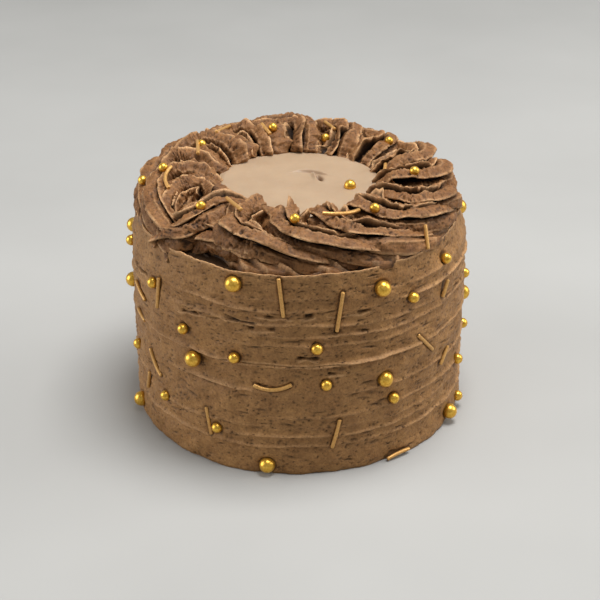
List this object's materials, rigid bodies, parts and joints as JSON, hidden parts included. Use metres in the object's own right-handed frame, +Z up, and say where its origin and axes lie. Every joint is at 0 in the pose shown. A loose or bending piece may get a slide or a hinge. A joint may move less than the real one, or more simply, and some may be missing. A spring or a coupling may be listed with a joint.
{
  "type": "layer cake",
  "caption": "Small tall round layer cake with banded chocolate icing, a piped swirl border round a pale icing disc, and gold pearl and rod sprinkles.",
  "frame": {"origin": "centre of the cake's flat underside", "axes": "+Z up, -Y towards the front of the cake, +X to its right"},
  "size_m": [0.1672, 0.1658, 0.1232],
  "materials": {
    "chocolate_icing": "soft matte buttercream",
    "pale_icing": "smooth satin buttercream",
    "gold_sprinkle": "pearly gold coating on sugar"
  },
  "bodies": {
    "root": {"cake_body": "chocolate_icing", "piped_border": "chocolate_icing", "centre_icing": "pale_icing"}
  },
  "joints": []
}
